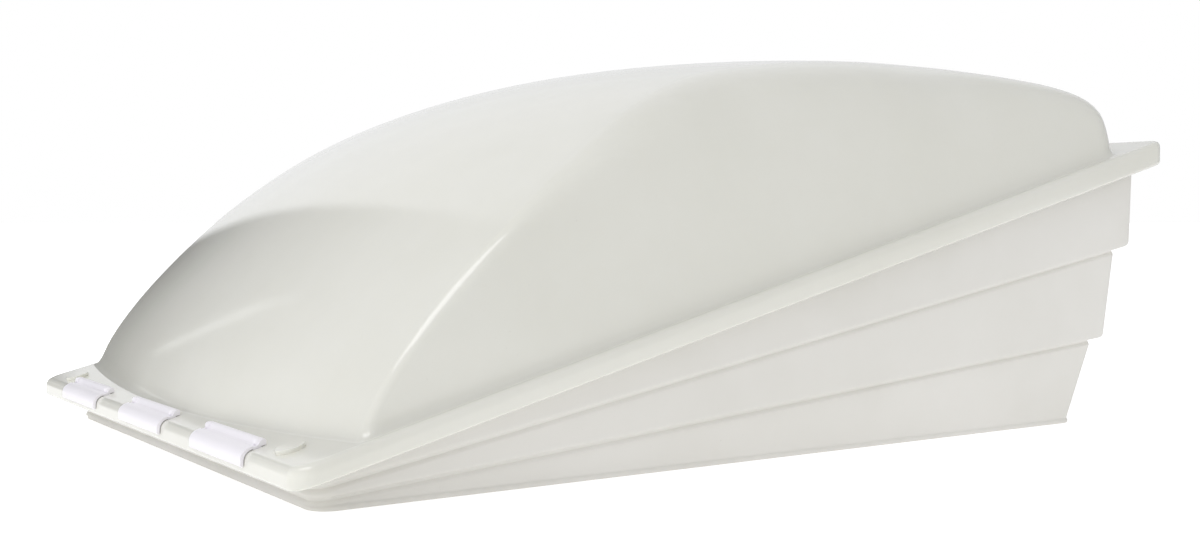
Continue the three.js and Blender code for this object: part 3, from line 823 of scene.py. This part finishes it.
def base_lug(x):
    """A lug of the base's front wall, round the hinge rod."""
    half = LUG_WIDTH / 2
    y, z, r = HINGE["y"], HINGE["z"], HINGE["knuckle"]
    outline = [(LUG_ROOT, z - 2.4), (LUG_ROOT, z + r)] + arc_points(y, z, r, 90, 270, 12)
    outline += [(y + 3, z - 3.2), (y + 5, z - 2.5)]
    return turned_to(prism(outline, x - half, x + half), "x")


def screw_holes(start, end):
    """Holes for the two screws beside a window, from one y to another."""
    hole = cylinder(SCREW["hole"], start, end, "y", 24)
    return combined(*[moved(hole, side * SCREW_X) for _, side in SIDES])


def add_base():
    base = make("base_body", stack(base_rings(), capped=False))
    boss = INSERT["boss"]
    bosses = at_knobs(turned([(boss - 1, -13), (boss, -12), (boss, -4)], 40))
    carve(base, [bosses, combined(*[base_lug(x) for x in LUG_X])], "UNION")
    pockets = at_knobs(cylinder(INSERT["radius"] + GAP, INSERT["bottom"] - GAP, 1))
    wells = at_knobs(cylinder(KNOB["shaft"] + GAP, -11.8, -9))
    bore = moved(cylinder(HINGE["rod"] + GAP, -260, 260, "x", 24), 0, HINGE["y"], HINGE["z"])
    windows = [placed(window_tool(height), place) for (_, _, height, _), place in zip(WINDOWS, WALL_PLACES)]
    holes = [placed(screw_holes(-12, 12), place) for place in WALL_PLACES]
    bolt_hole = cylinder(BOLT["hole"], 0, 15)
    bolt_holes = [moved(bolt_hole, side * BRACKET["bolt_x"], y) for _, y in BRACKET_Y for _, side in SIDES]
    carve(base, [pockets, wells, bore, combined(*windows), combined(*holes), combined(*bolt_holes)])
    finish_piece(base, "base", "base", ["base_shell"])


# ---- hinge

def rounding(plane, y, inset, drop, steps):
    """A curve in y and z from a front face at y back onto a sloping plane."""
    a, b = np.array((y, plane(y) - drop)), np.array((y, plane(y)))
    c = np.array((y + inset, plane(y + inset)))
    return [tuple(a)] + [tuple(point) for point in bezier(a, b, c, steps)]


def clip_outline():
    """Section of a hinge clip in y and z: it laps over the rim, and its stem grips the rod below."""
    front, back, lip = CLIP["front"], CLIP["back"], CLIP["lip"]
    y, z, knuckle, bore = HINGE["y"], HINGE["z"], HINGE["knuckle"], HINGE["rod"] + GAP
    under = raised(rim_top, GAP)
    over = raised(under, CLIP["thick"])
    crest = raised(under, CLIP["ridge"])
    inset, drop = RIM_ROUND["inset"], RIM_ROUND["drop"]
    outline = [(front + 0.9, lip), (front, lip + 0.9)]
    outline += rounding(over, front, inset + 1, drop, 8)
    # A shallow groove, then the round ridge along the rear.
    for forward, lift in ((7.6, 0), (6.9, -0.55), (5.6, -0.7), (4.5, -0.3), (3.7, 0.8)):
        outline.append((back - forward, over(back - forward) + lift))
    for forward, lift in ((2.9, -0.25), (1.9, 0), (0.7, -0.35), (0, -1.2)):
        outline.append((back - forward, crest(back - forward) + lift))
    outline += [(back, under(back)), (STEM["back"], under(STEM["back"]))]
    # Down the stem, round the outside of the knuckle to its mouth, round the bore and back up.
    outline += arc_points(y, z, knuckle, 62.4, -70, 12)
    outline += arc_points(y, z, bore, -48, 228, 20)
    outline += arc_points(y, z, knuckle, 250, 131, 10)
    outline += [(STEM["front"], under(STEM["front"]))]
    outline += rounding(under, RIM["front"] - GAP, inset, drop, 6)[::-1]
    return outline + [(RIM["front"] - GAP, lip + 0.3), (RIM["front"] - GAP - 0.3, lip)]


def add_clip(name, x):
    half = CLIP["width"] / 2
    clip = make(f"rim_clip_{name}", turned_to(prism(clip_outline(), x - half, x + half), "x"))
    ease_edges(clip, 0.4, segments=3, angle=60)
    carve(clip, [clip_horn(x + side * (half - 3.2)) for _, side in SIDES], "UNION")
    finish_piece(clip, "lid", "clip", [f"hinge_clip_{name}"], angle=40)


def clip_horn(x):
    """A small rounded button at each end of a clip's ridge."""
    y = CLIP["back"] - 3.1
    profile = [(0.4, 0), (2.6, 0), (2.8, 0.5), (2.7, 2.0), (2.2, 2.8), (1.3, 3.2), (0.4, 3.3)]
    return moved(turned(profile, 28), x, y, rim_top(y) + 1.2)


def add_rod():
    radius, half = HINGE["rod"], HINGE["half"]
    profile = [
        (radius - 0.5, -half), (radius, -half + 0.5), (radius, half - 0.5), (radius - 0.5, half),
    ]
    rod = make("hinge_rod_steel", moved(turned(profile, 28, "x"), 0, HINGE["y"], HINGE["z"]))
    finish_piece(rod, "base", "steel", ["hinge_rod"])


# ---- rear louvres and screens

def frame_plate(half_x, half_z, hole_x, hole_z, back, face):
    """Flat round-cornered frame with eased edges, between two y."""
    ease = 0.5
    outer, inner = rounded(half_x, half_z, 3), rounded(hole_x, hole_z, 2.5)
    small = rounded(half_x - ease, half_z - ease, 3 - ease)
    big = rounded(hole_x + ease, hole_z + ease, 2.5 + ease)
    sections = (
        (outer, back), (outer, face - ease), (small, face), (big, face), (inner, face - ease), (inner, back),
    )
    return upright_stack(sections, capped=False)


def blade_outline():
    """Section of a louvre blade in y and z: slightly crowned, with round edges and a drip lip."""
    half, thick = GRILLE["depth"] / 2, GRILLE["blade"] / 2
    outline = arc_points(half - thick, 0, thick, -80, 90, 6)
    outline += [(0, thick + 0.12)]
    outline += arc_points(-half + thick, 0, thick, 90, 270, 8)
    outline += [(0, -thick + 0.12), (half - 2.2, -thick + 0.02), (half - 1.5, -thick - 0.35)]
    return outline


def add_grille(name, height, slats, place):
    half_x, half_z = WINDOW_HALF + GRILLE["margin"], height / 2 + 3
    inner_x, inner_z = WINDOW_HALF - GRILLE["overlap"], height / 2 - GRILLE["overlap"]
    back = WALL_INSIDE - GRILLE["thick"]
    grille = make(f"grille_{name}", placed(
        frame_plate(half_x, half_z, inner_x, inner_z, back, WALL_INSIDE), place))
    ribs = [box(x - 1.5, x + 1.5, back, back + 2, -height / 2 + 1, height / 2 - 1)
            for x in (-inner_x / 2, 0, inner_x / 2)]
    pitch = height / slats
    tilt = Matrix.Rotation(-GRILLE["tilt"], 4, "X")
    blades = [
        moved(placed(turned_to(prism(blade_outline(), -inner_x - 1, inner_x + 1), "x"), tilt),
              0, -2.1, (row + 0.5) * pitch - height / 2) for row in range(slats)
    ]
    carve(grille, [placed(combined(*ribs), place), placed(combined(*blades), place)], "UNION")
    carve(grille, [placed(screw_holes(-10, 0), place)])
    finish_piece(grille, "base", "grille", [f"rear_grille_{name}"])


def wire(points):
    """A thin wire through points in x and z, with the sway across the weave in y."""
    points = np.asarray(points, float)
    along = unit(np.gradient(points, axis=0))
    across = unit(np.cross(along, (0, 1, 0)))
    third = np.cross(along, across)
    angles = around(4)
    rings = [point + WIRE * (np.outer(np.cos(angles), a) + np.outer(np.sin(angles), b))
             for point, a, b in zip(points, across, third)]
    return stack(rings)


def add_screen(name, height, place):
    """Woven insect screen: every wire passes over one neighbour and under the next."""
    half_x, half_z = WINDOW_HALF + 0.6, height / 2 + 0.6
    middle = SCREEN_FACE - SCREEN_THICK / 2
    columns, rows = int(2 * half_x / SCREEN_PITCH), int(2 * half_z / SCREEN_PITCH)
    xs = (np.arange(columns) - (columns - 1) / 2) * SCREEN_PITCH
    zs = (np.arange(rows) - (rows - 1) / 2) * SCREEN_PITCH
    sway = 0.12
    wires = []
    for i, x in enumerate(xs):
        points = [(x, middle + sway * (-1) ** (i + j), z) for j, z in enumerate(zs)]
        points = [(x, middle, -half_z), *points, (x, middle, half_z)]
        wires.append(wire(points))
    for j, z in enumerate(zs):
        points = [(x, middle - sway * (-1) ** (i + j), z) for i, x in enumerate(xs)]
        points = [(-half_x, middle, z), *points, (half_x, middle, z)]
        wires.append(wire(points))
    screen = make(f"screen_{name}", placed(combined(*wires), place))
    finish_piece(screen, "base", "screen", [f"insect_screen_{name}"], angle=80)


def add_screen_frame(name, height, place):
    face = SCREEN_FACE - SCREEN_THICK - GAP
    plate = placed(frame_plate(
        WINDOW_HALF + GRILLE["margin"], height / 2 + 3, WINDOW_HALF - 4, height / 2 - 4, face - 2, face,
    ), place)
    piece = make(f"screen_holder_{name}", plate)
    carve(piece, [placed(screw_holes(-20, 0), place)])
    finish_piece(piece, "base", "grille", [f"screen_frame_{name}"])


def cross_recess(width, depth, top):
    """Tapering cross that a screwdriver fits, cut down from a head whose crown is at this height."""
    arms = []
    for angle in (0, math.pi / 2):
        wide, narrow = width / 2, width / 4
        rings = []
        for half, z in ((narrow, top - depth), (wide, top + 0.5)):
            rings.append(np.array([(-half, -0.32, z), (half, -0.32, z), (half, 0.32, z), (-half, 0.32, z)]))
        arms.append(placed(stack(rings), Matrix.Rotation(angle, 4, "Z")))
    return arms


def screw(name, head, shaft, place, node, recess):
    """A round-head screw along its own +z, its head's crown outermost."""
    piece = make(name, placed(head, place))
    carve(piece, [placed(shaft, place)], "UNION")
    carve(piece, [placed(arm, place) for arm in recess])
    finish_piece(piece, "base", "steel", [node])


def add_grille_screws(name, place):
    for side_name, side in SIDES:
        head = turned([
            (1.2, GAP - 0.6), (1.4, GAP), (2.85, GAP), (3, GAP + 0.25),
            (2.92, 1.2), (2.5, 1.85), (1.7, 2.2), (0.8, 2.3),
        ], 36)
        shaft = thread(SCREW["shaft"], 0.28, 0.9, -13, GAP - 0.2, tip=2.5)
        centre = place @ Matrix.Translation((side * SCREW_X, 0, 0))
        across_wall = centre @ Matrix.Rotation(-math.pi / 2, 4, "X")
        screw(f"louvre_screw_{name}_{side_name}", head, shaft, across_wall,
              f"grille_screw_{name}_{side_name}", cross_recess(3.0, 1.3, 2.3))


# ---- brackets and fastenings

def bracket_outline():
    """The bracket's folded strip in x and z, with a round bend."""
    face, reach, height, thick = (BRACKET[k] for k in ("face", "reach", "height", "thick"))
    foot = SHELF_TOP + GAP
    bend = 1.2
    outline = [(face + reach, foot), (face + reach, foot + thick)]
    outline += [(face + thick + bend - bend * math.sin(a), foot + thick + bend - bend * math.cos(a))
                for a in np.linspace(0, math.pi / 2, 5)]
    outline += [(face + thick, foot + height), (face, foot + height)]
    outer = bend + thick
    outline += [(face + outer - outer * math.cos(a), foot + outer - outer * math.sin(a))
                for a in np.linspace(0, math.pi / 2, 8)]
    return outline


def strip(outline, half):
    """A section in x and z carried along y."""
    points, faces = prism(outline, -half, half)
    return points[:, [0, 2, 1]], faces


def bracket_places():
    for end, y in BRACKET_Y:
        for name, side in SIDES:
            turn = Matrix.Rotation(math.pi if side < 0 else 0, 4, "Z")
            yield f"{end}_{name}", Matrix.Translation((0, y, 0)) @ turn


def add_bracket(name, place):
    bracket = make(f"bracket_{name}", placed(strip(bracket_outline(), BRACKET["width"] / 2), place))
    face = BRACKET["face"]
    bolt_hole = moved(cylinder(BOLT["hole"], 0, 30), BRACKET["bolt_x"])
    screw_hole = moved(cylinder(CURB_SCREW["hole"], face - 5, face + 10, "x"), 0, 0, BRACKET["screw_z"])
    carve(bracket, [placed(bolt_hole, place), placed(screw_hole, place)])
    ease_edges(bracket, 0.25, segments=2, angle=40)
    finish_piece(bracket, "base", "steel", [f"mounting_bracket_{name}"])


def add_curb_screw(name, place):
    head = BRACKET["face"] + BRACKET["thick"] + GAP
    profile = [
        (1.8, -0.8), (1.9, 0), (3.85, 0), (4, 0.3), (3.9, 1.2), (3.4, 2.0), (2.4, 2.45), (1.2, 2.6),
    ]
    place = place @ Matrix.Translation((head, 0, BRACKET["screw_z"]))
    outward = place @ Matrix.Rotation(math.pi / 2, 4, "Y")
    start = BRACKET["face"] - CURB_SCREW["length"] - head
    shaft = thread(CURB_SCREW["shaft"], 0.45, 1.4, start, -0.2, tip=4)
    screw(f"curb_fixing_{name}", turned(profile, 40), shaft, outward, f"curb_screw_{name}",
          cross_recess(4, 1.6, 2.6))


def at_bolt(place):
    return place @ Matrix.Translation((BRACKET["bolt_x"], 0, 0))


def add_bolt(name, place):
    top = SHELF["bottom"] - GAP
    bottom = top - BOLT["height"]
    here = at_bolt(place)
    head = make(f"hex_bolt_{name}", placed(cylinder(BOLT["head"], bottom, top, "z", 6), here))
    wide = BOLT["head"] + 0.1
    eased = turned([(wide - 0.35, bottom - 0.01), (wide, bottom + 0.55), (wide, top + 0.5)], 48)
    carve(head, [placed(eased, here)], "INTERSECT")
    shaft = thread(BOLT["shaft"], 0.3, 0.8, top - 0.3, BOLT["top"])
    carve(head, [placed(shaft, here)], "UNION")
    finish_piece(head, "base", "steel", [f"bracket_bolt_{name}"])


WASHER_Z = SHELF_TOP + GAP + BRACKET["thick"] + GAP


def add_washer(name, place):
    shape = pipe(BOLT["washer"], BOLT["shaft"] + GAP, WASHER_Z, WASHER_Z + BOLT["washer_thick"], 0.2, 48)
    washer = make(f"washer_{name}", placed(shape, at_bolt(place)))
    finish_piece(washer, "base", "steel", [f"bolt_washer_{name}"])


def add_wing_nut(name, place):
    z = WASHER_Z + BOLT["washer_thick"] + GAP
    here = at_bolt(place)
    hub = turned([(4.2, z), (4.6, z + 0.4), (4.4, z + 3.4), (4.0, z + 4.6), (3.5, z + 5)], 40)
    nut = make(f"butterfly_nut_{name}", placed(hub, here))
    for _, side in SIDES:
        outline = [(side * y, h) for y, h in (
            [(2.6, z + 0.9), (5.2, z + 0.8)] + arc_points(8, z + 6, 4.5, -62, 190, 18) + [(2.8, z + 3.9)])]
        wing = make("wing", turned_to(prism(outline, -0.9, 0.9), "x"))
        ease_edges(wing, 0.5, segments=3, angle=50)
        points = np.array([vertex.co for vertex in wing.data.vertices]) / MM
        faces = [tuple(polygon.vertices) for polygon in wing.data.polygons]
        bpy.data.objects.remove(wing)
        carve(nut, [placed((points, faces), here)], "UNION")
    carve(nut, [placed(cylinder(BOLT["shaft"] + GAP, z - 5, z + 30), here)])
    finish_piece(nut, "base", "steel", [f"wing_nut_{name}"])


# ---- thumb screws and inserts

def knob_shape():
    """Lobed grip with a rounded top and a hollow in its crown."""
    sides = KNOB["lobes"] * 12
    lobes = 0.5 * np.cos(around(sides) * KNOB["lobes"])
    radius, height = KNOB["radius"], KNOB["height"] + GAP
    profile = (
        (radius - 1.6, GAP, 0.5), (radius - 0.5, GAP + 0.6, 1), (radius - 0.5, height - 2.2, 1),
        (radius - 0.8, height - 1.1, 0.95), (radius - 1.5, height - 0.3, 0.8), (radius - 2.6, height, 0.4),
        (radius - 3.6, height - 0.25, 0.1), (radius - 4.2, height - 0.8, 0), (radius - 5.5, height - 1.0, 0),
        (0.3, height - 1.05, 0),
    )
    return stack([circle(r + lobes * share, z, sides) for r, z, share in profile])


def add_knobs():
    for name, side in SIDES:
        place = knob_place(side)
        knob = make(f"thumb_knob_{name}", placed(knob_shape(), place))
        carve(knob, [placed(thread(KNOB["shaft"], 0.28, 0.8, -11, GAP + 0.6), place)], "UNION")
        finish_piece(knob, f"thumb_screw_{name}", "knob", [f"thumb_screw_{name}"])


def insert_shape():
    """Brass sleeve with two knurled bands and a plain groove between them."""
    sides = 72
    outer, inner = INSERT["radius"], KNOB["shaft"] + GAP
    top, bottom = INSERT["top"], INSERT["bottom"]
    knurl = 0.16 * (np.arange(sides) % 2)
    bands = (
        (outer - 0.3, bottom, 0), (outer, bottom + 0.3, 1), (outer, -8, 1), (outer - 0.5, -7.8, 0),
        (outer - 0.5, -6.4, 0), (outer, -6.2, 1), (outer, top - 0.3, 1), (outer - 0.3, top, 0),
        (inner + 0.3, top, 0), (inner, top - 0.3, 0), (inner, bottom + 0.3, 0), (inner + 0.3, bottom, 0),
    )
    return stack([circle(r - knurl * knurled, z, sides) for r, z, knurled in bands], capped=False)


def add_inserts():
    for name, side in SIDES:
        insert = make(f"brass_insert_{name}", placed(insert_shape(), knob_place(side)))
        finish_piece(insert, "base", "brass", [f"threaded_insert_{name}"])


# ---- stage

def add_camera():
    data = bpy.data.cameras.new("camera")
    data.lens = CAMERA_LENS
    camera = add_object("camera", data)
    camera.location = CAMERA_PLACE
    camera.rotation_euler = (math.pi / 2 - CAMERA_ELEVATION, 0, CAMERA_AZIMUTH)
    bpy.context.scene.camera = camera


def add_light(name, place, target, size, power):
    """A rectangular lamp turned towards a target."""
    data = bpy.data.lights.new(name, "AREA")
    data.shape = "RECTANGLE"
    data.size, data.size_y = size
    data.energy = power
    light = add_object(name, data)
    light.location = place
    light.rotation_euler = (Vector(target) - Vector(place)).to_track_quat("-Z", "Y").to_euler()


class WorldNodes(Nodes):
    """The studio's surroundings, with the same short calls."""

    def __init__(self, name):
        self.world = bpy.data.worlds.new(name)
        self.world.use_nodes = True
        self.tree = self.world.node_tree
        self.shader = self.tree.nodes["Background"]

    def direction(self):
        place = self.add("ShaderNodeTexCoord").outputs["Generated"]
        return self.add("ShaderNodeSeparateXYZ", Vector=place).outputs

    def both(self, first, second):
        return self.sum(first, second, "MULTIPLY")


def add_world():
    """White to the camera; to the cover a pale room, brighter in front, with a dark wall on its left."""
    n = WorldNodes("studio")
    x, y, z = n.direction()[:3]
    left = n.ramp(x, -0.05, -0.45, 0, 1)
    skyline = n.sum(y, n.both(z, SKYLINE["tilt"]))
    low, high = SKYLINE["height"] - SKYLINE["blur"], SKYLINE["height"] + SKYLINE["blur"]
    below = n.ramp(skyline, low, high, 1, 0)
    above = n.ramp(skyline, low, high, 0, 1)
    wall = n.both(n.both(below, left), n.both(n.ramp(y, -0.5, -0.12, 0, 1), n.ramp(z, 0.5, 0.9, 1, 0)))
    wall = n.both(wall, n.ramp(z, -0.1, 0.02, 0, 1))
    wall_light = n.ramp(z, 0.15, 0.65, WALL_LIGHT, WALL_TOP_LIGHT)
    window = n.both(n.both(above, left), n.ramp(z, 0.5, 0.9, 1, 0))
    lamp = n.ramp(n.sum(n.sum(y, 0.17), 0, "ABSOLUTE"), 0.008, 0.02, 1, 0)
    lamp = n.both(n.both(lamp, left), n.both(n.ramp(z, 0.12, 0.2, 0, 1), n.ramp(z, 0.36, 0.46, 1, 0)))
    front = n.both(n.ramp(y, -0.25, -0.85, 0, FRONT_LIGHT), n.ramp(z, 0.1, 0.5, 1, 0.2))
    rear = n.both(n.ramp(y, 0.3, 0.9, 0, REAR_SHADE), n.ramp(z, 0.2, 0.7, 1, 0))
    room = n.sum(n.sum(ROOM_LIGHT, front), rear, "SUBTRACT")
    light = n.sum(room, n.both(window, WINDOW_LIGHT - ROOM_LIGHT))
    light = n.sum(light, n.both(wall, n.sum(wall_light, ROOM_LIGHT, "SUBTRACT")))
    light = n.sum(light, n.both(lamp, LAMP_LIGHT))
    n.shade(Color=(0.985, 0.99, 1, 1), Strength=light)
    seen = n.add("ShaderNodeBackground", Color=(1, 1, 1, 1))
    mix = n.add("ShaderNodeMixShader", Fac=n.add("ShaderNodeLightPath").outputs["Is Camera Ray"])
    n.feed(mix.inputs[1], n.shader.outputs[0])
    n.feed(mix.inputs[2], seen.outputs[0])
    n.fill(n.tree.nodes["World Output"], Surface=mix.outputs[0])
    bpy.context.scene.world = n.world


def add_floor():
    mesh = bpy.data.meshes.new("floor")
    half = FLOOR_HALF
    corners = [(-half, -half, 0), (half, -half, 0), (half, half, 0), (-half, half, 0)]
    mesh.from_pydata(corners, [], [(0, 1, 2, 3)])
    floor = add_object("floor", mesh)
    n = Nodes("pale_floor")
    tone = n.ramp(n.noise(2, detail=3, seed=31), 0.3, 0.7, 0, 1)
    n.shade(Base_Color=n.blend(tone, (0.97, 0.97, 0.97, 1), (0.95, 0.95, 0.95, 1)))
    n.shade(Roughness=0.8, Emission_Color=(1, 1, 1, 1))
    seen = n.add("ShaderNodeLightPath").outputs["Is Camera Ray"]
    n.shade(Emission_Strength=n.ramp(seen, 0, 1, FLOOR_GLOW, FLOOR_GLOW_SEEN))
    floor.data.materials.append(n.material)


add_camera()
add_world()
add_floor()
add_light("front_strip", **STRIP)
bpy.context.scene.view_settings.view_transform = "Standard"

add_lid()
add_base()
for clip_name, clip_x in CLIP_X:
    add_clip(clip_name, clip_x)
add_rod()
for (window_name, _, window_height, window_slats), window_place in zip(WINDOWS, WALL_PLACES):
    add_grille(window_name, window_height, window_slats, window_place)
    add_screen(window_name, window_height, window_place)
    add_screen_frame(window_name, window_height, window_place)
    add_grille_screws(window_name, window_place)
for bracket_name, bracket_place in bracket_places():
    add_bracket(bracket_name, bracket_place)
    add_curb_screw(bracket_name, bracket_place)
    add_bolt(bracket_name, bracket_place)
    add_washer(bracket_name, bracket_place)
    add_wing_nut(bracket_name, bracket_place)
add_knobs()
add_inserts()
